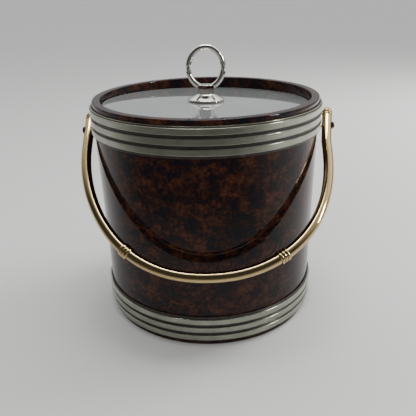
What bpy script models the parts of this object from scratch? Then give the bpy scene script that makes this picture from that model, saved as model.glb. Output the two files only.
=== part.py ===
"""Insulated ice bucket with a wrapped shell, ribbed metal bands, a recessed lid and a swinging bail.

Metres, +Z up. The origin is the centre of the face that the bucket stands on. The bail hangs
over the front, which faces -Y, and turns on two screws that lie along X.
"""

import math

import bmesh
import bpy
from mathutils import Matrix, Vector

MM = 0.001
GAP = 0.3 * MM

# Shell: a straight wall that widens slightly towards the rim.
SHELL_RADIUS_BASE = 97.8 * MM
SHELL_RADIUS_RIM = 100.4 * MM
SHELL_WALL = 2.2 * MM
SHELL_HEIGHT = 190.0 * MM
SHELL_FOOT_EASE = 0.8 * MM

# Rim: the wrapped ring that caps the shell and traps the liner's flange.
RIM_TOP = 198.5 * MM
RIM_OUTER = 100.3 * MM
RIM_INNER = 93.0 * MM
RIM_TENON = 97.6 * MM
RIM_EASE = 1.2 * MM

# Bands: a backing strip that carries raised metal stripes.
BAND_WALL = 0.7 * MM
STRIPES = 3
STRIPE_HEIGHT = 5.25 * MM
STRIPE_PITCH = 7.85 * MM
STRIPE_DEPTH = 1.1 * MM
STRIPE_EASE = 0.5 * MM
LIP_WIDE = 2.2 * MM
LIP_NARROW = 1.4 * MM
UPPER_BAND_INNER = 100.75 * MM
UPPER_STRIPES_TOP = 192.8 * MM
LOWER_BAND_INNER = 98.5 * MM
LOWER_STRIPES_TOP = 26.8 * MM

# Lid: a disc with a locating ring under it. It lies askew, caught on the liner's front edge.
LID_CENTRE = (0.4 * MM, -0.2 * MM, 192.2 * MM)
LID_TURN_X = -0.040
LID_TURN_Y = 0.015
LID_RADIUS = 92.0 * MM
LID_THICK = 3.2 * MM
LID_EASE = 0.5 * MM
LOCATING_OUTER = 86.6 * MM
LOCATING_WALL = 3.0 * MM
LOCATING_DEPTH = 6.9 * MM

# Liner: the tub that holds the ice, hung from its flange.
FLANGE_TOP = LID_CENTRE[2] - LID_THICK - math.hypot(LID_TURN_X, LID_TURN_Y) * LID_RADIUS - GAP
FLANGE_THICK = 1.6 * MM
FLANGE_OUTER = 97.2 * MM
LINER_INNER_TOP = 88.0 * MM
LINER_INNER_BASE = 85.5 * MM
LINER_WALL = 1.6 * MM
LINER_FLOOR = 15.6 * MM
LINER_CORNER = 5.0 * MM

# Base and insulation.
BASE_THICK = 3.0 * MM
CORE_RADIUS = SHELL_RADIUS_BASE - SHELL_WALL - 2.0 * GAP

# Knob, measured up from the lid's top face: a flared foot, a collar and a loop of round bar.
KNOB_FOOT = 16.3 * MM
KNOB_FOOT_EDGE = 1.3 * MM
KNOB_COLLAR = 7.5 * MM
KNOB_SHOULDER = 6.4 * MM
KNOB_TOP = 14.4 * MM
KNOB_FLARE_POWER = 1.25
KNOB_HOLE_TOP = 9.3 * MM
LOOP_BAR = 2.4 * MM
LOOP_RADIUS = 15.3 * MM
LOOP_STRETCH = 1.13
LOOP_CENTRE = 28.9 * MM
LOOP_END = (5.0 * MM, 12.2 * MM)
KNOB_SCREW = 1.8 * MM
KNOB_SCREW_HEAD = 3.6 * MM
KNOB_WASHER = 6.0 * MM
KNOB_WASHER_THICK = 1.0 * MM

# Bail: a tube bent to a rounded U that bows a little towards +X, hung on two screws.
PIVOT_HEIGHT = 167.5 * MM
PIVOT_X = 107.7 * MM
BAIL_TILT = math.radians(51.8)
BAIL_TUBE = 4.5 * MM
BAIL_WALL = 0.9 * MM
BAIL_STRAIGHT = 18.0 * MM
BAIL_DROP = 145.7 * MM
BAIL_POWER = 2.17
BAIL_BOW = 2.0 * MM
BAIL_ABOVE = 11.0 * MM
ARM_SPLAY = {"left": 0.0, "right": math.radians(8.0)}
FINIAL_TOP = 20.6 * MM
FINIAL_RING = 4.8 * MM
FINIAL_VALLEY = 4.2 * MM
FINIAL_RINGS_HEIGHT = 5.6 * MM
FINIAL_SPIGOT = 3.25 * MM
FINIAL_SPIGOT_DEPTH = 4.0 * MM
KNUCKLE_TURN = {"left": math.radians(36.5), "right": math.radians(31.3)}
KNUCKLE_LENGTH = 8.7 * MM
KNUCKLE_RING = 5.7 * MM
KNUCKLE_VALLEY = 5.1 * MM
KNUCKLE_BORE = 4.8 * MM

# Pivot hardware.
SCREW_SHANK = 1.6 * MM
SCREW_HOLE = 1.95 * MM
SCREW_HEAD = 3.2 * MM
SCREW_HEAD_TALL = 1.3 * MM
SPACER_RADIUS = 3.0 * MM
NUT_RADIUS = 4.8 * MM
NUT_THICK = 2.6 * MM
NUT_INNER_X = 94.6 * MM

# Sides of the faceted rounds.
ROUND = 60
KNOB_ROUND = 32
SMALL_ROUND = 18
BAR_RESOLUTION = 4
SHARP = math.radians(35.0)

# Finishes: colour, roughness, metallic.
TORTOISE = ((0.045, 0.022, 0.018), 0.12, 0.0)
PEWTER = ((0.42, 0.42, 0.38), 0.32, 0.9)
BACKING = ((0.10, 0.08, 0.07), 0.45, 0.2)
BRASS = ((0.80, 0.62, 0.32), 0.16, 1.0)
CHROME = ((0.80, 0.80, 0.78), 0.08, 1.0)
DARK_STEEL = ((0.06, 0.05, 0.05), 0.40, 0.8)
ACRYLIC = ((0.55, 0.56, 0.55), 0.08, 0.0)
LINER_WHITE = ((0.80, 0.79, 0.75), 0.35, 0.0)
FOAM = ((0.88, 0.86, 0.78), 0.90, 0.0)
BOARD = ((0.16, 0.12, 0.09), 0.80, 0.0)
GUIDE = None

SIDES = (("left", -1), ("right", 1))


def clear_scene():
    for obj in list(bpy.data.objects):
        bpy.data.objects.remove(obj, do_unlink=True)


def material(name, finish):
    colour, roughness, metallic = finish
    made = bpy.data.materials.new(name)
    made.use_nodes = True
    shader = made.node_tree.nodes["Principled BSDF"]
    shader.inputs["Base Color"].default_value = (*colour, 1.0)
    shader.inputs["Roughness"].default_value = roughness
    shader.inputs["Metallic"].default_value = metallic
    return made


def empty(name, location, rotation):
    """An axis or a seat that moving pieces are parented to."""
    obj = bpy.data.objects.new(name, None)
    obj.location = location
    obj.rotation_euler = rotation
    bpy.context.scene.collection.objects.link(obj)
    return obj


def add_object(name, mesh, finish, parent):
    mesh.shade_smooth()
    mesh.set_sharp_from_angle(angle=SHARP)
    obj = bpy.data.objects.new(name, mesh)
    bpy.context.scene.collection.objects.link(obj)
    obj.parent = parent
    if finish is GUIDE:
        obj.hide_render = True
        obj.display_type = "WIRE"
    else:
        mesh.materials.append(material(name, finish))
    return obj


def from_bmesh(name, work, finish, parent, place):
    bmesh.ops.transform(work, matrix=place, verts=work.verts)
    bmesh.ops.recalc_face_normals(work, faces=work.faces)
    mesh = bpy.data.meshes.new(name)
    work.to_mesh(mesh)
    work.free()
    return add_object(name, mesh, finish, parent)


def turned(name, outline, finish, sides=ROUND, parent=None, place=Matrix()):
    """Spin a closed outline of (radius, height) points round the Z axis."""
    work = bmesh.new()
    points = [work.verts.new((radius, 0.0, height)) for radius, height in outline]
    for start, end in zip(points, points[1:] + points[:1]):
        if start.co.x > 0.0 or end.co.x > 0.0:
            work.edges.new((start, end))
    bmesh.ops.spin(work, geom=work.verts[:] + work.edges[:], cent=(0.0, 0.0, 0.0),
                   axis=(0.0, 0.0, 1.0), angle=2.0 * math.pi, steps=sides, use_merge=True)
    bmesh.ops.remove_doubles(work, verts=work.verts[:], dist=0.001 * MM)
    return from_bmesh(name, work, finish, parent, place)


def cylinder(name, radius, low, high, finish, sides=ROUND, parent=None, place=Matrix()):
    """A solid cylinder with flat ends between two heights on the Z axis."""
    work = bmesh.new()
    bmesh.ops.create_cone(work, cap_ends=True, segments=sides, radius1=radius, radius2=radius,
                          depth=high - low, matrix=Matrix.Translation((0.0, 0.0, (low + high) / 2)))
    return from_bmesh(name, work, finish, parent, place)


def sleeve(name, inner, outer, low, high, finish, sides=ROUND, parent=None, place=Matrix()):
    """A plain ring with a square section."""
    outline = [(inner, low), (outer, low), (outer, high), (inner, high)]
    return turned(name, outline, finish, sides, parent, place)


def bar(name, path, radius, finish, parent, wall=0.0):
    """Bend a round bar along a path; with a wall it becomes a tube with open ends."""
    curve = bpy.data.curves.new(name, "CURVE")
    curve.dimensions = "3D"
    curve.bevel_depth = radius
    curve.bevel_resolution = BAR_RESOLUTION
    curve.use_fill_caps = wall == 0.0
    spline = curve.splines.new("POLY")
    spline.points.add(len(path) - 1)
    for point, place in zip(spline.points, path):
        point.co = (*place, 1.0)
    bent = bpy.data.objects.new(name + "_curve", curve)
    mesh = bpy.data.meshes.new_from_object(bent)
    bpy.data.objects.remove(bent)
    obj = add_object(name, mesh, finish, parent)
    if wall > 0.0:
        solidify = obj.modifiers.new("wall", "SOLIDIFY")
        solidify.thickness = wall
        solidify.offset = -1.0
    return obj


def cut(obj, cutter):
    """Cut a guide's shape out of an object."""
    boolean = obj.modifiers.new("cut", "BOOLEAN")
    boolean.operation = "DIFFERENCE"
    boolean.solver = "EXACT"
    boolean.object = cutter


def facing_out(side, x, height):
    """Lay a shape along X: its base at a distance from the middle, its top pointing outward."""
    turn = Matrix.Rotation(side * math.pi / 2.0, 4, "Y")
    return Matrix.Translation((side * x, 0.0, height)) @ turn


def shell_radius(height):
    return SHELL_RADIUS_BASE + (SHELL_RADIUS_RIM - SHELL_RADIUS_BASE) * height / RIM_TOP


def make_shell():
    outline = [
        (SHELL_RADIUS_BASE - SHELL_WALL, 0.0),
        (SHELL_RADIUS_BASE - SHELL_FOOT_EASE, 0.0),
        (shell_radius(SHELL_FOOT_EASE), SHELL_FOOT_EASE),
        (shell_radius(SHELL_HEIGHT), SHELL_HEIGHT),
        (shell_radius(SHELL_HEIGHT) - SHELL_WALL, SHELL_HEIGHT),
    ]
    shell = turned("outer_shell", outline, TORTOISE)
    for label, side in SIDES:
        inside = facing_out(side, SHELL_RADIUS_BASE - 2.0 * SHELL_WALL, PIVOT_HEIGHT)
        cut(shell, cylinder(f"shell_hole_{label}", SCREW_HOLE, 0.0, 4.0 * SHELL_WALL, GUIDE,
                            SMALL_ROUND, None, inside))


def make_rim():
    step = SHELL_HEIGHT + GAP
    ease = 0.3 * RIM_EASE
    outline = [
        (RIM_INNER, FLANGE_TOP + GAP),
        (RIM_TENON, FLANGE_TOP + GAP),
        (RIM_TENON, step),
        (RIM_OUTER, step),
        (RIM_OUTER, RIM_TOP - RIM_EASE),
        (RIM_OUTER - ease, RIM_TOP - ease),
        (RIM_OUTER - RIM_EASE, RIM_TOP),
        (RIM_INNER + RIM_EASE, RIM_TOP),
        (RIM_INNER + ease, RIM_TOP - ease),
        (RIM_INNER, RIM_TOP - RIM_EASE),
    ]
    turned("rim_ring", outline, TORTOISE)


def make_band(name, inner, stripes_top, lip_above, lip_below):
    """One backing strip and the raised stripes that it carries."""
    outer = inner + BAND_WALL
    stripes_bottom = stripes_top - (STRIPES - 1) * STRIPE_PITCH - STRIPE_HEIGHT
    backing = sleeve(f"{name}_backing", inner, outer, stripes_bottom - lip_below,
                     stripes_top + lip_above, BACKING)
    near = outer + GAP
    far = near + STRIPE_DEPTH
    for number in range(STRIPES):
        top = stripes_top - number * STRIPE_PITCH
        bottom = top - STRIPE_HEIGHT
        outline = [
            (near, bottom),
            (far - STRIPE_EASE, bottom),
            (far, bottom + STRIPE_EASE),
            (far, top - STRIPE_EASE),
            (far - STRIPE_EASE, top),
            (near, top),
        ]
        turned(f"{name}_stripe_{number + 1}", outline, PEWTER)
    return backing


def make_bands():
    upper = make_band("upper_band", UPPER_BAND_INNER, UPPER_STRIPES_TOP, LIP_NARROW, LIP_WIDE)
    for label, side in SIDES:
        through = facing_out(side, UPPER_BAND_INNER - BAND_WALL, PIVOT_HEIGHT)
        cut(upper, cylinder(f"band_notch_{label}", SPACER_RADIUS + GAP, 0.0, 3.0 * BAND_WALL, GUIDE,
                            SMALL_ROUND, None, through))
    make_band("lower_band", LOWER_BAND_INNER, LOWER_STRIPES_TOP, LIP_WIDE, LIP_NARROW)


def make_liner():
    flange_low = FLANGE_TOP - FLANGE_THICK
    outside_corner = LINER_CORNER - LINER_WALL * 0.4
    outline = [
        (0.0, LINER_FLOOR - LINER_WALL),
        (LINER_INNER_BASE + LINER_WALL - outside_corner, LINER_FLOOR - LINER_WALL),
        (LINER_INNER_BASE + LINER_WALL, LINER_FLOOR - LINER_WALL + outside_corner),
        (LINER_INNER_TOP + LINER_WALL, flange_low),
        (FLANGE_OUTER, flange_low),
        (FLANGE_OUTER, FLANGE_TOP),
        (LINER_INNER_TOP, FLANGE_TOP),
        (LINER_INNER_BASE, LINER_FLOOR + LINER_CORNER),
        (LINER_INNER_BASE - LINER_CORNER, LINER_FLOOR),
        (0.0, LINER_FLOOR),
    ]
    turned("inner_liner", outline, LINER_WHITE)


def make_base():
    cylinder("base_board", CORE_RADIUS, 0.0, BASE_THICK, BOARD)
    cylinder("foam_disc", CORE_RADIUS, BASE_THICK + GAP, LINER_FLOOR - LINER_WALL - GAP, FOAM)


def make_foam_sleeve():
    low = LINER_FLOOR - LINER_WALL
    high = FLANGE_TOP - FLANGE_THICK - GAP
    wall_gap = SHELL_WALL + 2.0 * GAP
    inner = LINER_INNER_TOP + LINER_WALL + 2.0 * GAP
    outline = [
        (inner, low),
        (shell_radius(low) - wall_gap, low),
        (shell_radius(high) - wall_gap, high),
        (inner, high),
    ]
    foam = turned("foam_sleeve", outline, FOAM)
    for label, side in SIDES:
        from_inside = facing_out(side, NUT_INNER_X - GAP, PIVOT_HEIGHT)
        cut(foam, cylinder(f"nut_pocket_{label}", NUT_RADIUS + 2.0 * GAP, 0.0, 3.0 * NUT_THICK, GUIDE,
                           SMALL_ROUND, None, from_inside))


def make_pivot(label, side):
    """A screw through the bail's tube, a spacer and the shell, with a nut inside the wall."""
    lean = math.tan(ARM_SPLAY[label])
    reach = PIVOT_X + BAIL_STRAIGHT * lean
    shank_x = NUT_INNER_X + GAP
    shank = reach + BAIL_TUBE + SCREW_HEAD * lean + GAP - shank_x
    screw = [
        (0.0, 0.0),
        (SCREW_SHANK, 0.0),
        (SCREW_SHANK, shank),
        (SCREW_HEAD, shank),
        (0.86 * SCREW_HEAD, shank + 0.7 * SCREW_HEAD_TALL),
        (0.50 * SCREW_HEAD, shank + SCREW_HEAD_TALL),
        (0.0, shank + SCREW_HEAD_TALL),
    ]
    turned(f"pivot_screw_{label}", screw, DARK_STEEL, SMALL_ROUND, None,
           facing_out(side, shank_x, PIVOT_HEIGHT))
    spacer_x = shell_radius(PIVOT_HEIGHT) + GAP
    spacer = reach - BAIL_TUBE - SPACER_RADIUS * lean - GAP - spacer_x
    sleeve(f"pivot_spacer_{label}", SCREW_HOLE, SPACER_RADIUS, 0.0, spacer, BRASS, SMALL_ROUND, None,
           facing_out(side, spacer_x, PIVOT_HEIGHT))
    sleeve(f"pivot_nut_{label}", SCREW_HOLE, NUT_RADIUS, 0.0, NUT_THICK, DARK_STEEL, 6, None,
           facing_out(side, NUT_INNER_X, PIVOT_HEIGHT))


def bail_point(turn):
    """A point of the U, by its angle from the lowest point: positive angles lie towards +X.

    The sideways bow is greatest two thirds of the way down.
    """
    share = 2.0 / BAIL_POWER
    across = math.copysign(abs(math.sin(turn)) ** share, turn)
    down = abs(math.cos(turn)) ** share
    bow = BAIL_BOW * 27.0 / 4.0 * down**2 * (1.0 - down)
    return Vector((PIVOT_X * across + bow, 0.0,
                   -BAIL_STRAIGHT - (BAIL_DROP - BAIL_STRAIGHT) * down))


def arm_place(label, side):
    """The straight part of an arm: upright, or leaning outward from the end of the bend."""
    elbow = Matrix.Translation((side * PIVOT_X, 0.0, -BAIL_STRAIGHT))
    lean = Matrix.Rotation(side * ARM_SPLAY[label], 4, "Y")
    return elbow @ lean @ Matrix.Translation((0.0, 0.0, BAIL_STRAIGHT))


def bail_path():
    steps = 34
    bend = [bail_point(math.pi * (step / steps - 0.5)) for step in range(steps + 1)]
    arm = [BAIL_ABOVE - GAP, 0.5 * BAIL_ABOVE, 0.0, -0.5 * BAIL_STRAIGHT]
    left = [arm_place("left", -1) @ Vector((0.0, 0.0, height)) for height in arm]
    right = [arm_place("right", 1) @ Vector((0.0, 0.0, height)) for height in reversed(arm)]
    return left + bend + right


def ringed(length, valley, crest, rings):
    """The outline of a ringed sleeve: rounded crests with a valley on each side of them."""
    steps = 4
    points = []
    for step in range(rings * steps + 1):
        swell = abs(math.sin(math.pi * step / steps))
        points.append((valley + (crest - valley) * swell, step * length / (rings * steps)))
    return points


def make_finial(label, side, axis):
    rings = ringed(FINIAL_RINGS_HEIGHT, FINIAL_VALLEY, FINIAL_RING, 2)
    outline = [
        (0.0, BAIL_ABOVE - FINIAL_SPIGOT_DEPTH),
        (FINIAL_SPIGOT, BAIL_ABOVE - FINIAL_SPIGOT_DEPTH),
        (FINIAL_SPIGOT, BAIL_ABOVE),
    ]
    outline += [(radius, BAIL_ABOVE + height) for radius, height in rings]
    dome_low = BAIL_ABOVE + FINIAL_RINGS_HEIGHT
    for angle in (math.radians(35.0), math.radians(65.0)):
        rise = (FINIAL_TOP - dome_low) * math.sin(angle)
        outline.append((FINIAL_VALLEY * math.cos(angle), dome_low + rise))
    outline.append((0.0, FINIAL_TOP))
    turned(f"bail_finial_{label}", outline, BRASS, SMALL_ROUND, axis, arm_place(label, side))


def make_knuckle(label, side, axis):
    turn = side * KNUCKLE_TURN[label]
    step = 0.001
    along = (bail_point(turn + step) - bail_point(turn - step)).normalized()
    outline = ringed(KNUCKLE_LENGTH, KNUCKLE_VALLEY, KNUCKLE_RING, 3)
    outline += [(KNUCKLE_BORE, KNUCKLE_LENGTH), (KNUCKLE_BORE, 0.0)]
    turn_to = along.to_track_quat("Z", "Y").to_matrix().to_4x4()
    start = Matrix.Translation(bail_point(turn) - 0.5 * KNUCKLE_LENGTH * along)
    turned(f"bail_knuckle_{label}", outline, BRASS, SMALL_ROUND, axis, start @ turn_to)


def make_bail():
    axis = empty("bail_axis", (0.0, 0.0, PIVOT_HEIGHT), (-BAIL_TILT, 0.0, 0.0))
    tube = bar("bail_tube", bail_path(), BAIL_TUBE, BRASS, axis, BAIL_WALL)
    for label, side in SIDES:
        through = facing_out(side, PIVOT_X - 2.0 * BAIL_TUBE, 0.0)
        cut(tube, cylinder(f"bail_hole_{label}", SCREW_HOLE, 0.0, 5.0 * BAIL_TUBE, GUIDE,
                           SMALL_ROUND, axis, through))
        make_finial(label, side, axis)
        make_knuckle(label, side, axis)


def make_lid_disc(seat):
    hole = KNOB_SCREW + GAP
    outline = [
        (hole, -LID_THICK),
        (LID_RADIUS, -LID_THICK),
        (LID_RADIUS, -LID_EASE),
        (LID_RADIUS - LID_EASE, 0.0),
        (hole, 0.0),
    ]
    turned("lid_disc", outline, ACRYLIC, ROUND, seat)
    top = -LID_THICK - GAP
    sleeve("lid_locating_ring", LOCATING_OUTER - LOCATING_WALL, LOCATING_OUTER,
           top - LOCATING_DEPTH, top, ACRYLIC, ROUND, seat)


def loop_path():
    """Straight legs rise out of the collar and meet the oval loop along its tangents."""
    foot = Vector((LOOP_END[0], 0.0, (LOOP_END[1] - LOOP_CENTRE) / LOOP_STRETCH))
    start = math.atan2(foot.z, foot.x) + math.acos(LOOP_RADIUS / foot.length)
    steps = 24
    loop = []
    for step in range(steps + 1):
        angle = start + (math.pi - 2.0 * start) * step / steps
        loop.append(LOOP_RADIUS * Vector((math.cos(angle), 0.0, math.sin(angle))))
    path = [foot] + loop + [Vector((-foot.x, 0.0, foot.z))]
    return [Vector((spot.x, 0.0, LOOP_CENTRE + LOOP_STRETCH * spot.z)) for spot in path]


def make_knob(seat):
    hole = KNOB_SCREW + GAP
    flare_low = 1.5 * KNOB_FOOT_EDGE
    steps = 5
    flare = []
    for step in range(steps + 1):
        share = step / steps
        spread = (1.0 - share) ** KNOB_FLARE_POWER
        flare.append((KNOB_COLLAR + (KNOB_FOOT - KNOB_COLLAR) * spread,
                      flare_low + (KNOB_SHOULDER - flare_low) * share))
    outline = [
        (hole, GAP),
        (KNOB_FOOT - KNOB_FOOT_EDGE, GAP),
        (KNOB_FOOT, KNOB_FOOT_EDGE),
        *flare,
        (KNOB_COLLAR, KNOB_TOP - GAP),
        (KNOB_COLLAR - GAP, KNOB_TOP),
        (0.0, KNOB_TOP),
        (0.0, KNOB_HOLE_TOP),
        (hole, KNOB_HOLE_TOP),
    ]
    base = turned("knob_base", outline, CHROME, KNOB_ROUND, seat)
    path = loop_path()
    bar("knob_loop", path, LOOP_BAR, CHROME, seat)
    ends = (("right", path[0], path[1]), ("left", path[-1], path[-2]))
    for label, foot, after in ends:
        leg = (after - foot).normalized()
        cut(base, bar(f"leg_socket_{label}", [foot - GAP * leg, foot + KNOB_COLLAR * leg],
                      LOOP_BAR + GAP, GUIDE, seat))


def make_knob_fixing(seat):
    washer_top = -LID_THICK - GAP
    washer_low = washer_top - KNOB_WASHER_THICK
    sleeve("knob_washer", KNOB_SCREW + GAP, KNOB_WASHER, washer_low, washer_top, CHROME,
           SMALL_ROUND, seat)
    head_top = washer_low - GAP
    head_low = head_top - KNOB_SCREW
    outline = [
        (0.0, head_low),
        (0.7 * KNOB_SCREW_HEAD, head_low),
        (KNOB_SCREW_HEAD, head_low + 0.5 * KNOB_SCREW),
        (KNOB_SCREW_HEAD, head_top),
        (KNOB_SCREW, head_top),
        (KNOB_SCREW, KNOB_HOLE_TOP - 3.0 * GAP),
        (0.0, KNOB_HOLE_TOP - 3.0 * GAP),
    ]
    turned("knob_screw", outline, CHROME, SMALL_ROUND, seat)


def main():
    clear_scene()
    make_shell()
    make_rim()
    make_bands()
    make_liner()
    make_base()
    make_foam_sleeve()
    for label, side in SIDES:
        make_pivot(label, side)
    make_bail()
    seat = empty("lid_seat", LID_CENTRE, (LID_TURN_X, LID_TURN_Y, 0.0))
    make_lid_disc(seat)
    make_knob(seat)
    make_knob_fixing(seat)


main()
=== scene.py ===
"""Looks of the ice bucket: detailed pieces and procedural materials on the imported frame."""

import math

import bmesh
import bpy
from mathutils import Euler, Matrix, Vector


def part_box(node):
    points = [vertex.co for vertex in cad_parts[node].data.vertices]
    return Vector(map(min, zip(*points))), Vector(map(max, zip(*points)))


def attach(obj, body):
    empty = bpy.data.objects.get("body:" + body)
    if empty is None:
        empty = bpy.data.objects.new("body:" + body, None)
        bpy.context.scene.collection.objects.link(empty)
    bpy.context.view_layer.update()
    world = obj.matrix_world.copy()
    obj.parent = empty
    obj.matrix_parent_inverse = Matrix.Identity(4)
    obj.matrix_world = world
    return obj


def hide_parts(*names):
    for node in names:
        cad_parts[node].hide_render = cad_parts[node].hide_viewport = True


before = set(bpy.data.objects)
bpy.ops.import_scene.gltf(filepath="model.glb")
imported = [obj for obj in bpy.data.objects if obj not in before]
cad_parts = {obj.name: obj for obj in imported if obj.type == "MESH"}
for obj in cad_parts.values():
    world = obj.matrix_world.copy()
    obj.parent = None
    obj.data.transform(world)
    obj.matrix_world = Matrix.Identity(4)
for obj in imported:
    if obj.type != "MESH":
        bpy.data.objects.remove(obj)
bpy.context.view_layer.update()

MM = 0.001

# Camera: in front of the bucket and above its rim.
CAMERA_AZIMUTH = math.radians(1.0)
CAMERA_DISTANCE = 0.450
CAMERA_HEIGHT = 0.2815
CAMERA_PITCH = 0.4077
CAMERA_YAW = -0.0005
CAMERA_ROLL = -0.0244
SENSOR = 36.0
LENS = 43.17

# Floor, the sheet just above it that only darkens reflections, and a far wall that is only
# seen directly.
FLOOR_REACH = 200.0
FLOOR_GAP = 0.1 * MM
SHADE_REACH = 8.0
SHADE_HEIGHT = 1.0 * MM
SHADE_DIRECTION = (-0.25, -0.97, 0.0)
SHADE_NEAR = 0.15
SHADE_FAR = 0.45
SHADE_FULL_LEAN = 0.85
WALL_RADIUS = 16.0
WALL_BRIGHT = 0.554

# World: bright on one side and dim on the other, and weaker low down on the bright side.
WORLD_COLOUR = (0.98, 0.99, 1.0, 1.0)
WORLD_BRIGHT_SIDE = (0.32, 0.94, 0.12)
WORLD_DIM_LEAN = -0.35
WORLD_BRIGHT_LEAN = 0.45
WORLD_DIM = 0.07
WORLD_BRIGHT = 1.85
WORLD_LOW = 0.26
WORLD_LOW_END = 0.15
WORLD_HIGH_START = 0.75

# Body: heights and radii that the frame's boxes give, and the radii inside them.
RIM_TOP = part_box("rim_ring")[1].z
RIM_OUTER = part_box("rim_ring")[1].x
RIM_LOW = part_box("rim_ring")[0].z
RIM_INNER = 93.0 * MM
RIM_TENON = 97.6 * MM
RIM_SEAT_GAP = 0.3 * MM
RIM_EASE = 1.6 * MM
SHELL_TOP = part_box("outer_shell")[1].z
SHELL_OUTER_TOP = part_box("outer_shell")[1].x
SHELL_OUTER_BASE = 97.8 * MM
SHELL_WALL = 2.2 * MM
SHELL_FOOT_EASE = 0.9 * MM
SHARP_EASE = 0.2 * MM
LINER_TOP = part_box("inner_liner")[1].z
LINER_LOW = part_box("inner_liner")[0].z
FLANGE_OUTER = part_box("inner_liner")[1].x
LINER_INNER_TOP = 88.0 * MM
LINER_INNER_BASE = 85.5 * MM
LINER_WALL = 1.6 * MM
LINER_FOOT_EASE = 5.0 * MM
LINER_NECK_EASE = 0.5 * MM
LINER_MOUTH_EASE = 0.8 * MM
FLANGE_EASE = 0.4 * MM

# Bands: a backing strip, a bead in the step at the strip's top edge, and three stripes.
BACKING_THICK = 0.7 * MM
BACKING_EASE = 0.3 * MM
BEAD = 0.42 * MM
BEAD_TALL = 1.3 * BEAD
BEAD_OUT = 0.5 * BEAD
BEAD_EASE = 0.4 * BEAD
BEAD_ROOT = 0.2 * MM
BEAD_STEP = 1.4 * BEAD
BEAD_STEP_DEEP = 0.25 * MM
STRIPES = 3
STRIPE_EASE = 0.75 * MM

# Pivots: the screws and the spacers round them.
PIVOT_HEIGHT = 167.5 * MM
PIVOT_X = 107.7 * MM
SCREW_SHANK = 1.6 * MM
SCREW_HEAD = 3.2 * MM
SCREW_HEAD_TALL = 1.3 * MM
SCREW_HEAD_TOP = SCREW_HEAD * 0.95
SCREW_EASE = 0.3 * MM
SCREW_DOME_EASE = 1.6 * MM
SPACER_INNER = 1.95 * MM
SPACER_OUTER = 3.0 * MM
SPACER_EASE = 0.4 * MM

# Bail: the same U as the frame's tube, bowed a little towards +X.
BAIL_TILT = math.radians(51.8)
BAIL_TUBE = 4.5 * MM
BAIL_STRAIGHT = 18.0 * MM
BAIL_DROP = 145.7 * MM
BAIL_POWER = 2.17
BAIL_BOW = 2.0 * MM
BAIL_ABOVE = 11.0 * MM
BAIL_END = BAIL_ABOVE - 0.3 * MM
ARM_SPLAY = {"left": 0.0, "right": math.radians(8.0)}
FINIAL_PLUG = 3.05 * MM
FINIAL_PLUG_DEEP = 3.0 * MM
FINIAL_TOP = 20.6 * MM
FINIAL_RING = 4.8 * MM
FINIAL_RINGS = 2
FINIAL_RINGS_TALL = 5.6 * MM
FINIAL_VALLEY = 4.1 * MM
FINIAL_GROOVE = 0.9 * MM
KNUCKLE_TURN = {"left": math.radians(36.5), "right": math.radians(31.3)}
KNUCKLE_LENGTH = 8.7 * MM
KNUCKLE_RINGS = 3
KNUCKLE_RING = 5.7 * MM
KNUCKLE_VALLEY = BAIL_TUBE + 0.08 * MM
KNUCKLE_BORE = BAIL_TUBE - 0.1 * MM

# Lid: its seat, then sizes measured up from the middle of its top face.
LID_CENTRE = Vector((0.4, -0.2, 192.2)) * MM
LID_TURN = Euler((-0.040, 0.015, 0.0))
LID_RADIUS = 92.0 * MM
LID_THICK = 3.2 * MM
LID_LOW_EASE = 0.4 * MM
LID_TOP_EASE = 0.6 * MM
KNOB_BORE = 2.1 * MM
KNOB_BORE_TOP = 9.3 * MM
KNOB_LOW = 0.3 * MM
KNOB_FLARE = (  # radius, height and ease of each corner
    (15.3 * MM, KNOB_LOW, 0.2 * MM),
    (16.3 * MM, 1.2 * MM, 0.5 * MM),
    (15.9 * MM, 2.1 * MM, 0.5 * MM),
    (12.6 * MM, 3.9 * MM, 1.6 * MM),
    (8.6 * MM, 5.5 * MM, 0.7 * MM),
)
KNOB_COLLAR = 7.5 * MM
KNOB_SHOULDER = 6.4 * MM
KNOB_SHOULDER_EASE = 0.6 * MM
KNOB_TOP = 14.4 * MM
KNOB_TOP_EASE = 0.5 * MM
LOOP_BAR = 2.4 * MM
LOOP_RADIUS = 15.3 * MM
LOOP_STRETCH = 1.13
LOOP_CENTRE = 28.9 * MM
LOOP_END = Vector((5.0, 0.0, 12.2)) * MM

SIDES = (("left", -1), ("right", 1))
BIG_ROUND = 256
MIDDLE_ROUND = 96
SMALL_ROUND = 48
SHARP = math.radians(40.0)
SMALL_TURN = 0.001
MERGE = 0.001 * MM

# A flat longer than HOLD_ROOM eases is held flat by a point HOLD_REACH eases from its corner.
HOLD_ROOM = 3.0
HOLD_REACH = 1.15


# ---------------------------------------------------------------- camera, floor and light

def make_camera():
    """Look along +Y and down by the pitch, then roll a little about the view axis."""
    data = bpy.data.cameras.new("camera")
    data.sensor_width = SENSOR
    data.lens = LENS
    camera = bpy.data.objects.new("camera", data)
    bpy.context.scene.collection.objects.link(camera)
    forward = Vector((
        math.sin(CAMERA_YAW) * math.cos(CAMERA_PITCH),
        math.cos(CAMERA_YAW) * math.cos(CAMERA_PITCH),
        -math.sin(CAMERA_PITCH),
    ))
    level = Vector((math.cos(CAMERA_YAW), -math.sin(CAMERA_YAW), 0.0))
    upright = level.cross(forward)
    across = math.cos(CAMERA_ROLL) * level + math.sin(CAMERA_ROLL) * upright
    above = across.cross(forward)
    turn = Matrix((across, above, -forward)).transposed()
    place = Matrix.Translation((0.0, -CAMERA_DISTANCE, CAMERA_HEIGHT)) @ turn.to_4x4()
    camera.matrix_world = Matrix.Rotation(CAMERA_AZIMUTH, 4, "Z") @ place
    bpy.context.scene.camera = camera


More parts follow.
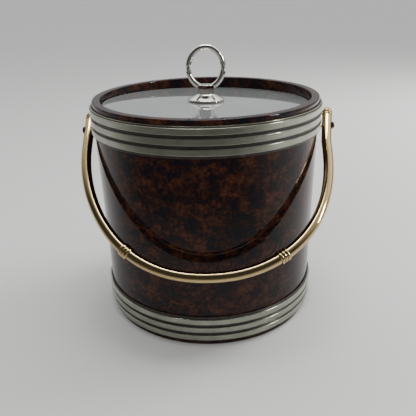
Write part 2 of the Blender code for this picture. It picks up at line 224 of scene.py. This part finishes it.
def make_floor():
    """A wide pale floor, a sheet that only darkens reflections, and a pale far wall."""
    sheet("floor", FLOOR_REACH, -FLOOR_GAP, floor_paper())
    shade = sheet("front_shade", SHADE_REACH, SHADE_HEIGHT, front_shade())
    shade.visible_camera = False
    shade.visible_diffuse = False
    shade.visible_shadow = False
    shade.visible_transmission = False
    wall = far_wall()
    wall.visible_diffuse = False
    wall.visible_glossy = False
    wall.visible_shadow = False
    wall.visible_transmission = False


def sheet(name, reach, height, look):
    """A level square that reaches equally far on all sides of the bucket."""
    work = bmesh.new()
    bmesh.ops.create_grid(work, x_segments=1, y_segments=1, size=reach)
    flat = linked(name, work, look)
    flat.location = (0.0, 0.0, height)
    return flat


def far_wall():
    """A distant pale ring seen only directly, so no side of the bucket has a dark backdrop."""
    look, shader = material("far_wall")
    shader.inputs["Base Color"].default_value = (0.0, 0.0, 0.0, 1.0)
    shader.inputs["Emission Color"].default_value = WORLD_COLOUR
    shader.inputs["Emission Strength"].default_value = WALL_BRIGHT
    work = bmesh.new()
    bmesh.ops.create_cone(work, cap_ends=False, segments=MIDDLE_ROUND, radius1=WALL_RADIUS,
                          radius2=WALL_RADIUS, depth=2.0 * WALL_RADIUS)
    return linked("far_wall", work, look)


def linked(name, work, look):
    """Put a finished shape in the scene."""
    mesh = bpy.data.meshes.new(name)
    work.to_mesh(mesh)
    work.free()
    mesh.materials.append(look)
    made = bpy.data.objects.new(name, mesh)
    bpy.context.scene.collection.objects.link(made)
    return made


def floor_paper():
    paper, shader = material("floor_paper")
    shader.inputs["Base Color"].default_value = (0.62, 0.615, 0.60, 1.0)
    shader.inputs["Roughness"].default_value = 0.75
    return paper


def front_shade():
    """Clear near the bucket and behind it, dark further out in front and a little to the left."""
    look, shader = material("front_shade")
    tree = look.node_tree
    place = add(tree, "ShaderNodeTexCoord").outputs["Object"]
    away = add(tree, "ShaderNodeVectorMath", {0: place}, operation="LENGTH")
    toward = add(tree, "ShaderNodeVectorMath", {0: place}, operation="NORMALIZE").outputs["Vector"]
    lean = add(tree, "ShaderNodeVectorMath", {0: toward, 1: SHADE_DIRECTION}, operation="DOT_PRODUCT")
    far = smooth_step(tree, away.outputs["Value"], SHADE_NEAR, SHADE_FAR)
    front = smooth_step(tree, lean.outputs["Value"], 0.0, SHADE_FULL_LEAN)
    dark = add(tree, "ShaderNodeMath", {0: far, 1: front}, operation="MULTIPLY")
    shader.inputs["Base Color"].default_value = (0.085, 0.082, 0.075, 1.0)
    shader.inputs["Roughness"].default_value = 1.0
    tree.links.new(dark.outputs["Value"], shader.inputs["Alpha"])
    return look


def make_world():
    """Pale behind and to the right, dim in front, like a room lit from one side."""
    world = bpy.data.worlds.new("studio")
    world.use_nodes = True
    tree = world.node_tree
    direction = add(tree, "ShaderNodeTexCoord").outputs["Generated"]
    lean = add(tree, "ShaderNodeVectorMath", {0: direction, 1: WORLD_BRIGHT_SIDE},
               operation="DOT_PRODUCT")
    height = add(tree, "ShaderNodeSeparateXYZ", {"Vector": direction}).outputs["Z"]
    raised = smooth_step(tree, height, WORLD_LOW_END, WORLD_HIGH_START,
                         low=WORLD_LOW * WORLD_BRIGHT, high=WORLD_BRIGHT)
    behind = smooth_step(tree, lean.outputs["Value"], WORLD_DIM_LEAN, WORLD_BRIGHT_LEAN)
    level = mix(tree, behind, WORLD_DIM, raised)
    backdrop = tree.nodes["Background"]
    backdrop.inputs["Color"].default_value = WORLD_COLOUR
    tree.links.new(level, backdrop.inputs["Strength"])
    bpy.context.scene.world = world


def make_light(name, place, target, size, power, mirrored, tall=None):
    """An area light, a disc unless it is given a height.

    A mirrored light shows only in reflections, any other light only on matt surfaces.
    """
    data = bpy.data.lights.new(name, "AREA")
    data.shape = "DISK" if tall is None else "RECTANGLE"
    data.size = size
    data.size_y = tall or size
    data.energy = power
    light = bpy.data.objects.new(name, data)
    light.location = place
    aim = Vector(target) - Vector(place)
    light.rotation_euler = aim.to_track_quat("-Z", "Y").to_euler()
    light.visible_glossy = mirrored
    light.visible_diffuse = not mirrored
    bpy.context.scene.collection.objects.link(light)


def make_lights():
    make_light("overhead", place=(0.0, 0.05, 1.5), target=(0.0, 0.0, 0.0),
               size=0.60, power=5.0, mirrored=False)
    make_light("window", place=(1.1, 0.6, 0.7), target=(0.45, 0.35, 0.0),
               size=0.8, power=17.0, mirrored=False)
    make_light("fill", place=(-0.5, -1.3, 1.3), target=(0.0, 0.0, 0.0),
               size=1.2, power=13.0, mirrored=False)
    make_light("ceiling", place=(0.0, 0.06, 1.5), target=(0.0, 0.0, 0.0),
               size=0.9, tall=0.20, power=11.0, mirrored=True)
    make_light("glint", place=(1.14, -0.38, 0.75), target=(0.0, 0.0, 0.15),
               size=0.06, tall=0.55, power=11.0, mirrored=True)


# ---------------------------------------------------------------- shader nodes

def material(name):
    made = bpy.data.materials.new(name)
    made.use_nodes = True
    return made, made.node_tree.nodes["Principled BSDF"]


def patterned(name):
    """A material, its shader and node tree, and the place on the object that patterns follow."""
    look, shader = material(name)
    tree = look.node_tree
    return look, shader, tree, add(tree, "ShaderNodeTexCoord").outputs["Object"]


def add(tree, kind, inputs=None, **settings):
    """Add a shader node; an input is given as a value or as another node's output."""
    made = tree.nodes.new(kind)
    for key, value in settings.items():
        setattr(made, key, value)
    for key, value in (inputs or {}).items():
        if isinstance(value, bpy.types.NodeSocket):
            tree.links.new(value, made.inputs[key])
        else:
            made.inputs[key].default_value = value
    return made


def smooth_step(tree, value, start, end, low=0.0, high=1.0):
    """Ease from low to high while a value goes from start to end."""
    made = add(tree, "ShaderNodeMapRange", {
        "Value": value, "From Min": start, "From Max": end, "To Min": low, "To Max": high},
        interpolation_type="SMOOTHSTEP")
    return made.outputs["Result"]


def noise(tree, place, scale, detail=4.0, roughness=0.5, distortion=0.0):
    made = add(tree, "ShaderNodeTexNoise", {
        "Vector": place, "Scale": scale, "Detail": detail, "Roughness": roughness,
        "Distortion": distortion})
    return made.outputs["Fac"]


def mix(tree, share, first, second):
    return add(tree, "ShaderNodeMix", {"Factor": share, 2: first, 3: second}).outputs[0]


def warped(tree, place, scale, amount):
    """Places pushed about by a noise, so that patterns drawn on them flow and tear."""
    push = add(tree, "ShaderNodeTexNoise", {"Vector": place, "Scale": scale, "Detail": 2.0})
    centred = add(tree, "ShaderNodeVectorMath", {0: push.outputs["Color"], 1: (0.5, 0.5, 0.5)},
                  operation="SUBTRACT").outputs["Vector"]
    moved = add(tree, "ShaderNodeVectorMath", {0: centred, "Scale": amount}, operation="SCALE")
    return add(tree, "ShaderNodeVectorMath", {0: place, 1: moved.outputs["Vector"]}).outputs["Vector"]


def squeezed(tree, place, factors):
    made = add(tree, "ShaderNodeVectorMath", {0: place, 1: factors}, operation="MULTIPLY")
    return made.outputs["Vector"]


def colour_by(tree, shader, value, stops):
    """Colour a surface by a value, through a ramp of (position, colour) stops."""
    made = add(tree, "ShaderNodeValToRGB", {"Fac": value})
    elements = made.color_ramp.elements
    while len(elements) < len(stops):
        elements.new(0.5)
    for element, (position, colour) in zip(elements, stops):
        element.position = position
        element.color = (*colour, 1.0)
    tree.links.new(made.outputs["Color"], shader.inputs["Base Color"])


def roughness_by(tree, shader, value, start, end, low, high):
    """Let the roughness go from low to high while a value goes from start to end."""
    tree.links.new(smooth_step(tree, value, start, end, low, high), shader.inputs["Roughness"])


def bump(tree, shader, height, strength, distance):
    made = add(tree, "ShaderNodeBump", {"Height": height, "Strength": strength, "Distance": distance})
    tree.links.new(made.outputs["Normal"], shader.inputs["Normal"])


# ---------------------------------------------------------------- materials

def tortoise_laminate():
    """Glossy burl print: rust clouds over brown and blue-black, torn by fine ragged mottling."""
    look, shader, tree, place = patterned("tortoise_laminate")
    flow = warped(tree, squeezed(tree, place, (1.0, 1.0, 1.3)), scale=90.0, amount=8.0 * MM)
    clouds = noise(tree, flow, scale=70.0, detail=7.0, roughness=0.70, distortion=0.3)
    torn = warped(tree, place, scale=420.0, amount=2.5 * MM)
    mottle = noise(tree, torn, scale=300.0, detail=5.0, roughness=0.85, distortion=0.3)
    colour_by(tree, shader, mix(tree, 0.50, clouds, mottle), [
        (0.43, (0.0040, 0.0050, 0.0100)),
        (0.470, (0.0080, 0.0050, 0.0065)),
        (0.495, (0.0170, 0.0066, 0.0056)),
        (0.53, (0.0350, 0.0118, 0.0075)),
        (0.60, (0.0700, 0.0260, 0.0140)),
    ])
    smears = noise(tree, squeezed(tree, place, (1.0, 1.0, 0.4)), scale=38.0, detail=5.0, roughness=0.6)
    roughness_by(tree, shader, smears, 0.40, 0.75, low=0.035, high=0.11)
    shader.inputs["IOR"].default_value = 1.27
    waves = noise(tree, place, scale=45.0, detail=1.0)
    bump(tree, shader, waves, strength=0.05, distance=0.4 * MM)
    return look


def worn_metal(name, base, tarnish, polish, dull, tarnish_share=0.5):
    """Polished metal with patchy tarnish, hairline scratches and uneven polish."""
    look, shader, tree, place = patterned(name)
    patches = noise(tree, place, scale=120.0, detail=6.0, roughness=0.65, distortion=0.5)
    specks = noise(tree, place, scale=900.0, detail=3.0, roughness=0.6)
    stain = smooth_step(tree, mix(tree, 0.35, patches, specks), 0.50, 0.72, high=tarnish_share)
    blend = add(tree, "ShaderNodeMix", data_type="RGBA")
    tree.links.new(stain, blend.inputs["Factor"])
    blend.inputs[6].default_value = (*base, 1.0)
    blend.inputs[7].default_value = (*tarnish, 1.0)
    tree.links.new(blend.outputs[2], shader.inputs["Base Color"])
    roughness_by(tree, shader, patches, 0.35, 0.75, low=polish, high=dull)
    shader.inputs["Metallic"].default_value = 1.0
    hairlines = squeezed(tree, place, (300.0, 2600.0, 500.0))
    scratches = noise(tree, hairlines, scale=1.0, detail=3.0, roughness=0.7)
    bump(tree, shader, scratches, strength=0.035, distance=0.05 * MM)
    return look


def pewter():
    """Grey-green metal, softly polished, with streaks that run round the band and dull specks."""
    look, shader, tree, place = patterned("pewter")
    streaks = noise(tree, squeezed(tree, place, (9.0, 9.0, 1500.0)), scale=1.0, detail=4.0,
                    roughness=0.6)
    patches = noise(tree, place, scale=70.0, detail=5.0, roughness=0.6, distortion=0.3)
    colour_by(tree, shader, mix(tree, 0.55, streaks, patches), [
        (0.30, (0.215, 0.220, 0.170)),
        (0.50, (0.300, 0.306, 0.252)),
        (0.70, (0.380, 0.384, 0.330)),
    ])
    roughness_by(tree, shader, patches, 0.35, 0.70, low=0.09, high=0.20)
    shader.inputs["Metallic"].default_value = 0.85
    shader.inputs["IOR"].default_value = 1.6
    grain = noise(tree, place, scale=1400.0, detail=2.0)
    bump(tree, shader, mix(tree, 0.5, streaks, grain), strength=0.06, distance=0.08 * MM)
    return look


def groove_paint_and_shadow_line():
    """Dark brown lacquer between the stripes, with dust caught in it; on the lower band's bead the
    same dark paint is painted shade, the shadow line along the band's top edge.
    """
    look, shader, tree, place = patterned("groove_paint_and_shadow_line")
    dust = noise(tree, place, scale=260.0, detail=6.0, roughness=0.7, distortion=0.4)
    colour_by(tree, shader, dust, [
        (0.35, (0.016, 0.011, 0.009)),
        (0.58, (0.032, 0.024, 0.019)),
        (0.80, (0.100, 0.090, 0.072)),
    ])
    roughness_by(tree, shader, dust, 0.4, 0.7, low=0.30, high=0.60)
    bump(tree, shader, dust, strength=0.15, distance=0.1 * MM)
    return look


def lid_acrylic():
    """Smoke-grey acrylic with a high polish, faint wiping arcs and a little dust."""
    look, shader, tree, place = patterned("lid_acrylic")
    cloud = noise(tree, place, scale=30.0, detail=4.0, roughness=0.55, distortion=0.4)
    dust = noise(tree, place, scale=1800.0, detail=2.0, roughness=0.6)
    colour_by(tree, shader, mix(tree, 0.25, cloud, dust), [
        (0.30, (0.235, 0.245, 0.244)),
        (0.55, (0.275, 0.286, 0.282)),
        (0.80, (0.335, 0.340, 0.331)),
    ])
    arcs = squeezed(tree, warped(tree, place, scale=20.0, amount=20.0 * MM), (1.0, 6.0, 1.0))
    wiped = noise(tree, arcs, scale=60.0, detail=5.0, roughness=0.7)
    roughness_by(tree, shader, wiped, 0.40, 0.75, low=0.035, high=0.10)
    shader.inputs["IOR"].default_value = 1.6
    shader.inputs["Coat Weight"].default_value = 0.8
    shader.inputs["Coat Roughness"].default_value = 0.02
    shader.inputs["Coat IOR"].default_value = 1.6
    bump(tree, shader, noise(tree, place, scale=26.0, detail=1.0), strength=0.03, distance=0.3 * MM)
    return look


def moulded_plastic(name, low, high, gloss):
    """Moulded plastic with faint flow marks and a fine grain."""
    look, shader, tree, place = patterned(name)
    flow = noise(tree, squeezed(tree, place, (1.0, 1.0, 0.3)), scale=42.0, detail=4.0,
                 roughness=0.6, distortion=0.6)
    grain = noise(tree, place, scale=1500.0, detail=2.0)
    colour_by(tree, shader, mix(tree, 0.3, flow, grain), [(0.32, low), (0.68, high)])
    roughness_by(tree, shader, flow, 0.35, 0.70, low=gloss, high=gloss + 0.18)
    bump(tree, shader, grain, strength=0.10, distance=0.06 * MM)
    return look


def foam_beads():
    """Expanded foam: pressed beads with dark seams between them."""
    look, shader, tree, place = patterned("foam_beads")
    cells = add(tree, "ShaderNodeTexVoronoi", {"Vector": place, "Scale": 330.0},
                feature="DISTANCE_TO_EDGE").outputs["Distance"]
    colour_by(tree, shader, cells, [
        (0.0, (0.46, 0.44, 0.37)),
        (0.12, (0.80, 0.78, 0.70)),
        (0.5, (0.86, 0.84, 0.77)),
    ])
    shader.inputs["Roughness"].default_value = 0.9
    bump(tree, shader, cells, strength=0.5, distance=0.4 * MM)
    return look


def pressed_board():
    """Brown hardboard: matted fibres with a scuffed face."""
    look, shader, tree, place = patterned("pressed_board")
    matted = squeezed(tree, warped(tree, place, scale=60.0, amount=12.0 * MM), (3.0, 1.0, 1.0))
    fibres = noise(tree, matted, scale=420.0, detail=6.0, roughness=0.75)
    scuffs = noise(tree, place, scale=36.0, detail=5.0, roughness=0.6, distortion=0.5)
    colour_by(tree, shader, mix(tree, 0.4, fibres, scuffs), [
        (0.33, (0.055, 0.034, 0.020)),
        (0.52, (0.110, 0.070, 0.042)),
        (0.70, (0.190, 0.135, 0.088)),
    ])
    roughness_by(tree, shader, scuffs, 0.4, 0.7, low=0.62, high=0.88)
    bump(tree, shader, fibres, strength=0.35, distance=0.15 * MM)
    return look


# ---------------------------------------------------------------- shapes

def rounded(corners, steps=4):
    """An outline of (radius, height) points from corners (radius, height, ease), eased with arcs.

    A point just outside each arc keeps the long flats flat when the mesh is shaded smooth.
    """
    points = []
    for index, (radius, height, ease) in enumerate(corners):
        here = Vector((radius, height))
        if ease == 0.0:
            points.append(here)
            continue
        before = Vector(corners[index - 1][:2]) - here
        after = Vector(corners[(index + 1) % len(corners)][:2]) - here
        start = here + before.normalized() * ease
        end = here + after.normalized() * ease
        if before.length > HOLD_ROOM * ease:
            points.append(here + before.normalized() * HOLD_REACH * ease)
        for step in range(steps + 1):
            share = step / steps
            points.append((1 - share) ** 2 * start + 2 * share * (1 - share) * here + share**2 * end)
        if after.length > HOLD_ROOM * ease:
            points.append(here + after.normalized() * HOLD_REACH * ease)
    return points


def add_piece(name, mesh, look, body, nodes):
    """Shade a finished mesh smooth and let it stand for CAD nodes on a body."""
    mesh.shade_smooth()
    mesh.set_sharp_from_angle(angle=SHARP)
    mesh.materials.append(look)
    piece = bpy.data.objects.new(name, mesh)
    bpy.context.scene.collection.objects.link(piece)
    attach(piece, body)
    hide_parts(*nodes)


def spun(name, outline, segments=BIG_ROUND, place=Matrix()):
    """A mesh spun from a closed outline round the Z axis."""
    work = bmesh.new()
    points = [work.verts.new((point[0], 0.0, point[1])) for point in outline]
    for start, end in zip(points, points[1:] + points[:1]):
        if start.co.x > 0.0 or end.co.x > 0.0:
            work.edges.new((start, end))
    bmesh.ops.spin(work, geom=work.verts[:] + work.edges[:], cent=(0.0, 0.0, 0.0),
                   axis=(0.0, 0.0, 1.0), angle=2.0 * math.pi, steps=segments, use_merge=True)
    bmesh.ops.remove_doubles(work, verts=work.verts[:], dist=MERGE)
    bmesh.ops.transform(work, matrix=place, verts=work.verts)
    bmesh.ops.recalc_face_normals(work, faces=work.faces)
    mesh = bpy.data.meshes.new(name)
    work.to_mesh(mesh)
    work.free()
    return mesh


def bent(name, path, radius, place):
    """A mesh of round bar bent along a path, with flat ends."""
    curve = bpy.data.curves.new(name, "CURVE")
    curve.dimensions = "3D"
    curve.bevel_depth = radius
    curve.bevel_resolution = 10
    curve.use_fill_caps = True
    spline = curve.splines.new("POLY")
    spline.points.add(len(path) - 1)
    for point, spot in zip(spline.points, path):
        point.co = (*spot, 1.0)
    guide = bpy.data.objects.new(name + "_path", curve)
    mesh = bpy.data.meshes.new_from_object(guide)
    bpy.data.objects.remove(guide)
    mesh.transform(place)
    return mesh


def facing_out(side, x, height):
    """Lay a spun shape along X: its base at a distance from the middle, its top outward."""
    turn = Matrix.Rotation(side * math.pi / 2.0, 4, "Y")
    return Matrix.Translation((side * x, 0.0, height)) @ turn


# ---------------------------------------------------------------- body

def shell_radius(height):
    return SHELL_OUTER_BASE + (SHELL_OUTER_TOP - SHELL_OUTER_BASE) * height / SHELL_TOP


def make_shell(look):
    top = SHELL_TOP
    outline = rounded([
        (SHELL_OUTER_BASE - SHELL_WALL, 0.0, 0.0),
        (SHELL_OUTER_BASE, 0.0, SHELL_FOOT_EASE),
        (shell_radius(top), top, SHARP_EASE),
        (shell_radius(top) - SHELL_WALL, top, 0.0),
    ])
    add_piece("shell_wrap", spun("shell_wrap", outline), look, "bucket",
              ["outer_shell"])


def make_rim(look):
    step = SHELL_TOP + RIM_SEAT_GAP
    outline = rounded([
        (RIM_INNER, RIM_LOW, SHARP_EASE),
        (RIM_TENON, RIM_LOW, SHARP_EASE),
        (RIM_TENON, step, 0.0),
        (RIM_OUTER, step, SHARP_EASE),
        (RIM_OUTER, RIM_TOP, RIM_EASE),
        (RIM_INNER, RIM_TOP, RIM_EASE),
    ], steps=6)
    add_piece("rim_wrap", spun("rim_wrap", outline), look, "bucket", ["rim_ring"])


def make_band(label, backing_look, bead_look, stripe_look):
    """A backing strip with a fine bead along its top edge, and its raised stripes."""
    low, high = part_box(f"{label}_backing")
    outer = high.x
    inner = outer - BACKING_THICK
    outline = rounded([
        (inner, low.z, 0.0),
        (outer, low.z, BACKING_EASE),
        (outer, high.z - BEAD_STEP, 0.0),
        (outer - BEAD_STEP_DEEP, high.z - BEAD_STEP, 0.0),
        (outer - BEAD_STEP_DEEP, high.z, 0.0),
        (inner, high.z, 0.0),
    ])
    add_piece(f"{label}_strip", spun(f"{label}_strip", outline), backing_look,
              "bucket", [f"{label}_backing"])
    bead = rounded([
        (outer - BEAD_ROOT, high.z - BEAD_TALL, 0.0),
        (outer + BEAD_OUT, high.z - BEAD_TALL, BEAD_EASE),
        (outer + BEAD_OUT, high.z, BEAD_EASE),
        (outer - BEAD_ROOT, high.z, 0.0),
    ])
    add_piece(f"{label}_bead", spun(f"{label}_bead", bead), bead_look, "bucket",
              [f"{label}_backing"])
    for number in range(1, STRIPES + 1):
        node = f"{label}_stripe_{number}"
        stripe_low, stripe_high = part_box(node)
        outline = rounded([
            (outer, stripe_low.z, 0.0),
            (stripe_high.x, stripe_low.z, STRIPE_EASE),
            (stripe_high.x, stripe_high.z, STRIPE_EASE),
            (outer, stripe_high.z, 0.0),
        ], steps=6)
        add_piece(f"{label}_rib_{number}", spun(f"{label}_rib_{number}", outline), stripe_look,
                  "bucket", [node])


def make_liner(look):
    floor = LINER_LOW + LINER_WALL
    flange_low = LINER_TOP - LINER_WALL
    outline = rounded([
        (0.0, LINER_LOW, 0.0),
        (LINER_INNER_BASE + LINER_WALL, LINER_LOW, LINER_FOOT_EASE),
        (LINER_INNER_TOP + LINER_WALL, flange_low, LINER_NECK_EASE),
        (FLANGE_OUTER, flange_low, 0.0),
        (FLANGE_OUTER, LINER_TOP, FLANGE_EASE),
        (LINER_INNER_TOP, LINER_TOP, LINER_MOUTH_EASE),
        (LINER_INNER_BASE, floor, LINER_FOOT_EASE),
        (0.0, floor, 0.0),
    ], steps=6)
    add_piece("liner_tub", spun("liner_tub", outline), look, "bucket",
              ["inner_liner"])


def make_pivots(steel, brass):
    for label, side in SIDES:
        low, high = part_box(f"pivot_screw_{label}")
        start = min(abs(low.x), abs(high.x))
        shank = high.x - low.x - SCREW_HEAD_TALL
        outline = rounded([
            (0.0, 0.0, 0.0),
            (SCREW_SHANK, 0.0, SCREW_EASE),
            (SCREW_SHANK, shank, 0.0),
            (SCREW_HEAD, shank, SCREW_EASE),
            (SCREW_HEAD_TOP, shank + SCREW_HEAD_TALL, SCREW_DOME_EASE),
            (0.0, shank + SCREW_HEAD_TALL, 0.0),
        ], steps=6)
        name = f"pivot_bolt_{label}"
        mesh = spun(name, outline, SMALL_ROUND, facing_out(side, start, PIVOT_HEIGHT))
        add_piece(name, mesh, steel, "bucket", [f"pivot_screw_{label}"])

        low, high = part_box(f"pivot_spacer_{label}")
        start = min(abs(low.x), abs(high.x))
        length = high.x - low.x
        outline = rounded([
            (SPACER_INNER, 0.0, 0.0),
            (SPACER_OUTER, 0.0, SPACER_EASE),
            (SPACER_OUTER, length, SPACER_EASE),
            (SPACER_INNER, length, 0.0),
        ])
        name = f"pivot_bush_{label}"
        mesh = spun(name, outline, SMALL_ROUND, facing_out(side, start, PIVOT_HEIGHT))
        add_piece(name, mesh, brass, "bucket", [f"pivot_spacer_{label}"])


# ---------------------------------------------------------------- bail

BAIL_PLACE = Matrix.Translation((0.0, 0.0, PIVOT_HEIGHT)) @ Matrix.Rotation(-BAIL_TILT, 4, "X")


def bail_point(turn):
    """A point of the U, by its angle from the lowest point: positive angles lie towards +X."""
    share = 2.0 / BAIL_POWER
    across = math.copysign(abs(math.sin(turn)) ** share, turn)
    down = abs(math.cos(turn)) ** share
    bow = BAIL_BOW * 27.0 / 4.0 * down**2 * (1.0 - down)  # BAIL_BOW where it is widest
    return Vector((PIVOT_X * across + bow, 0.0,
                   -BAIL_STRAIGHT - (BAIL_DROP - BAIL_STRAIGHT) * down))


def arm_place(label, side):
    """The straight part of an arm: upright, or leaning outward from the end of the bend."""
    elbow = Matrix.Translation((side * PIVOT_X, 0.0, -BAIL_STRAIGHT))
    lean = Matrix.Rotation(side * ARM_SPLAY[label], 4, "Y")
    return elbow @ lean @ Matrix.Translation((0.0, 0.0, BAIL_STRAIGHT))


def bail_path():
    steps = 120
    bend = [bail_point(math.pi * (step / steps - 0.5)) for step in range(steps + 1)]
    arm = [BAIL_END, 0.5 * BAIL_ABOVE, 0.0, -0.5 * BAIL_STRAIGHT]
    left = [arm_place("left", -1) @ Vector((0.0, 0.0, height)) for height in arm]
    right = [arm_place("right", 1) @ Vector((0.0, 0.0, height)) for height in reversed(arm)]
    return left + bend + right


def beads(length, valley, crest, count):
    """The outline of a ringed sleeve: half-round beads with a narrow groove between them."""
    steps = 10
    half_bead = 0.47  # of a bead and its groove together
    fullness = 0.7  # 1 is a half-round bead, and less is squarer
    points = []
    for number in range(count):
        for step in range(steps + 1):
            angle = math.pi * step / steps
            height = (number + 0.5 - half_bead * math.cos(angle)) * length / count
            points.append((valley + (crest - valley) * math.sin(angle) ** fullness, height))
    return points


def finial_outline():
    """A plug that enters the tube, two rings round its mouth and a dome."""
    rings = beads(FINIAL_RINGS_TALL, FINIAL_VALLEY - FINIAL_GROOVE, FINIAL_RING, FINIAL_RINGS)
    outline = [
        (0.0, BAIL_ABOVE - FINIAL_PLUG_DEEP),
        (FINIAL_PLUG, BAIL_ABOVE - FINIAL_PLUG_DEEP),
        (FINIAL_PLUG, BAIL_ABOVE),
    ]
    outline += [(radius, BAIL_ABOVE + height) for radius, height in rings]
    dome_low = BAIL_ABOVE + FINIAL_RINGS_TALL
    steps = 8
    for step in range(steps):
        angle = math.pi / 2.0 * step / steps
        rise = (FINIAL_TOP - dome_low) * math.sin(angle)
        outline.append((FINIAL_VALLEY * math.cos(angle), dome_low + rise))
    return outline + [(0.0, FINIAL_TOP)]


def make_bail(look):
    tube = bent("bail_bow", bail_path(), BAIL_TUBE, BAIL_PLACE)
    add_piece("bail_bow", tube, look, "bail", ["bail_tube"])
    for label, side in SIDES:
        name = f"bail_cap_{label}"
        place = BAIL_PLACE @ arm_place(label, side)
        add_piece(name, spun(name, finial_outline(), SMALL_ROUND, place), look, "bail",
                  [f"bail_finial_{label}"])

        turn = side * KNUCKLE_TURN[label]
        along = (bail_point(turn + SMALL_TURN) - bail_point(turn - SMALL_TURN)).normalized()
        sleeve = beads(KNUCKLE_LENGTH, KNUCKLE_VALLEY, KNUCKLE_RING, KNUCKLE_RINGS)
        sleeve += [(KNUCKLE_BORE, KNUCKLE_LENGTH), (KNUCKLE_BORE, 0.0)]
        name = f"bail_collar_{label}"
        start = Matrix.Translation(bail_point(turn) - 0.5 * KNUCKLE_LENGTH * along)
        place = BAIL_PLACE @ start @ along.to_track_quat("Z", "Y").to_matrix().to_4x4()
        add_piece(name, spun(name, sleeve, SMALL_ROUND, place), look, "bail",
                  [f"bail_knuckle_{label}"])


# ---------------------------------------------------------------- lid

LID_PLACE = Matrix.Translation(LID_CENTRE) @ LID_TURN.to_matrix().to_4x4()


def make_lid_disc(look):
    outline = rounded([
        (0.0, -LID_THICK, 0.0),
        (LID_RADIUS, -LID_THICK, LID_LOW_EASE),
        (LID_RADIUS, 0.0, LID_TOP_EASE),
        (0.0, 0.0, 0.0),
    ], steps=5)
    add_piece("lid_plate", spun("lid_plate", outline, BIG_ROUND, LID_PLACE), look, "lid",
              ["lid_disc"])


def loop_path():
    """Straight legs rise out of the collar and meet the oval loop along its tangents."""
    foot = Vector((LOOP_END.x, 0.0, (LOOP_END.z - LOOP_CENTRE) / LOOP_STRETCH))
    start = math.atan2(foot.z, foot.x) + math.acos(LOOP_RADIUS / foot.length)
    steps = 64
    loop = []
    for step in range(steps + 1):
        angle = start + (math.pi - 2.0 * start) * step / steps
        loop.append(LOOP_RADIUS * Vector((math.cos(angle), 0.0, math.sin(angle))))
    path = [foot] + loop + [Vector((-foot.x, 0.0, foot.z))]
    return [Vector((spot.x, 0.0, LOOP_CENTRE + LOOP_STRETCH * spot.z)) for spot in path]


def make_knob(look):
    """A flared foot with a collar, hollow for its screw, and the ring that stands in it."""
    outline = rounded([
        (KNOB_BORE, KNOB_LOW, 0.0),
        *KNOB_FLARE,
        (KNOB_COLLAR, KNOB_SHOULDER, KNOB_SHOULDER_EASE),
        (KNOB_COLLAR, KNOB_TOP, KNOB_TOP_EASE),
        (0.0, KNOB_TOP, 0.0),
        (0.0, KNOB_BORE_TOP, 0.0),
        (KNOB_BORE, KNOB_BORE_TOP, 0.0),
    ], steps=6)
    foot = spun("knob_foot", outline, MIDDLE_ROUND, LID_PLACE)
    add_piece("knob_foot", foot, look, "lid", ["knob_base"])
    loop = bent("knob_ring", loop_path(), LOOP_BAR, LID_PLACE)
    add_piece("knob_ring", loop, look, "lid", ["knob_loop"])


# ---------------------------------------------------------------- scene

def dress_frame(looks):
    """Give the hidden pieces that come from the frame their materials."""
    for node, look in looks.items():
        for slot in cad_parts[node].material_slots:
            slot.material = look


def main():
    make_camera()
    make_floor()
    make_world()
    make_lights()

    tortoise = tortoise_laminate()
    backing = groove_paint_and_shadow_line()
    stripes = pewter()
    bead = worn_metal("band_bead", base=(0.40, 0.38, 0.28), tarnish=(0.20, 0.17, 0.11),
                      polish=0.10, dull=0.22)
    brass = worn_metal("brass", base=(0.54, 0.405, 0.205), tarnish=(0.28, 0.18, 0.08),
                       polish=0.035, dull=0.09)
    chrome = worn_metal("chrome", base=(0.76, 0.73, 0.67), tarnish=(0.45, 0.41, 0.35),
                        polish=0.025, dull=0.07, tarnish_share=0.4)
    steel = worn_metal("dark_steel", base=(0.060, 0.050, 0.048), tarnish=(0.11, 0.06, 0.035),
                       polish=0.22, dull=0.5)
    acrylic = lid_acrylic()
    liner = moulded_plastic("liner_plastic", low=(0.62, 0.60, 0.54), high=(0.74, 0.73, 0.68),
                            gloss=0.22)
    ring = moulded_plastic("ring_plastic", low=(0.20, 0.205, 0.20), high=(0.27, 0.27, 0.26),
                           gloss=0.10)
    foam = foam_beads()

    make_shell(tortoise)
    make_rim(tortoise)
    make_band("upper_band", backing, bead, stripes)
    # The lower band's bead takes the dark backing paint as painted shade: the shadow line in the gap
    # along the band's top edge.
    make_band("lower_band", backing, backing, stripes)
    make_liner(liner)
    make_pivots(steel, brass)
    make_bail(brass)
    make_lid_disc(acrylic)
    make_knob(chrome)
    dress_frame({
        "foam_sleeve": foam,
        "foam_disc": foam,
        "base_board": pressed_board(),
        "pivot_nut_left": steel,
        "pivot_nut_right": steel,
        "lid_locating_ring": ring,
        "knob_washer": chrome,
        "knob_screw": chrome,
    })


main()
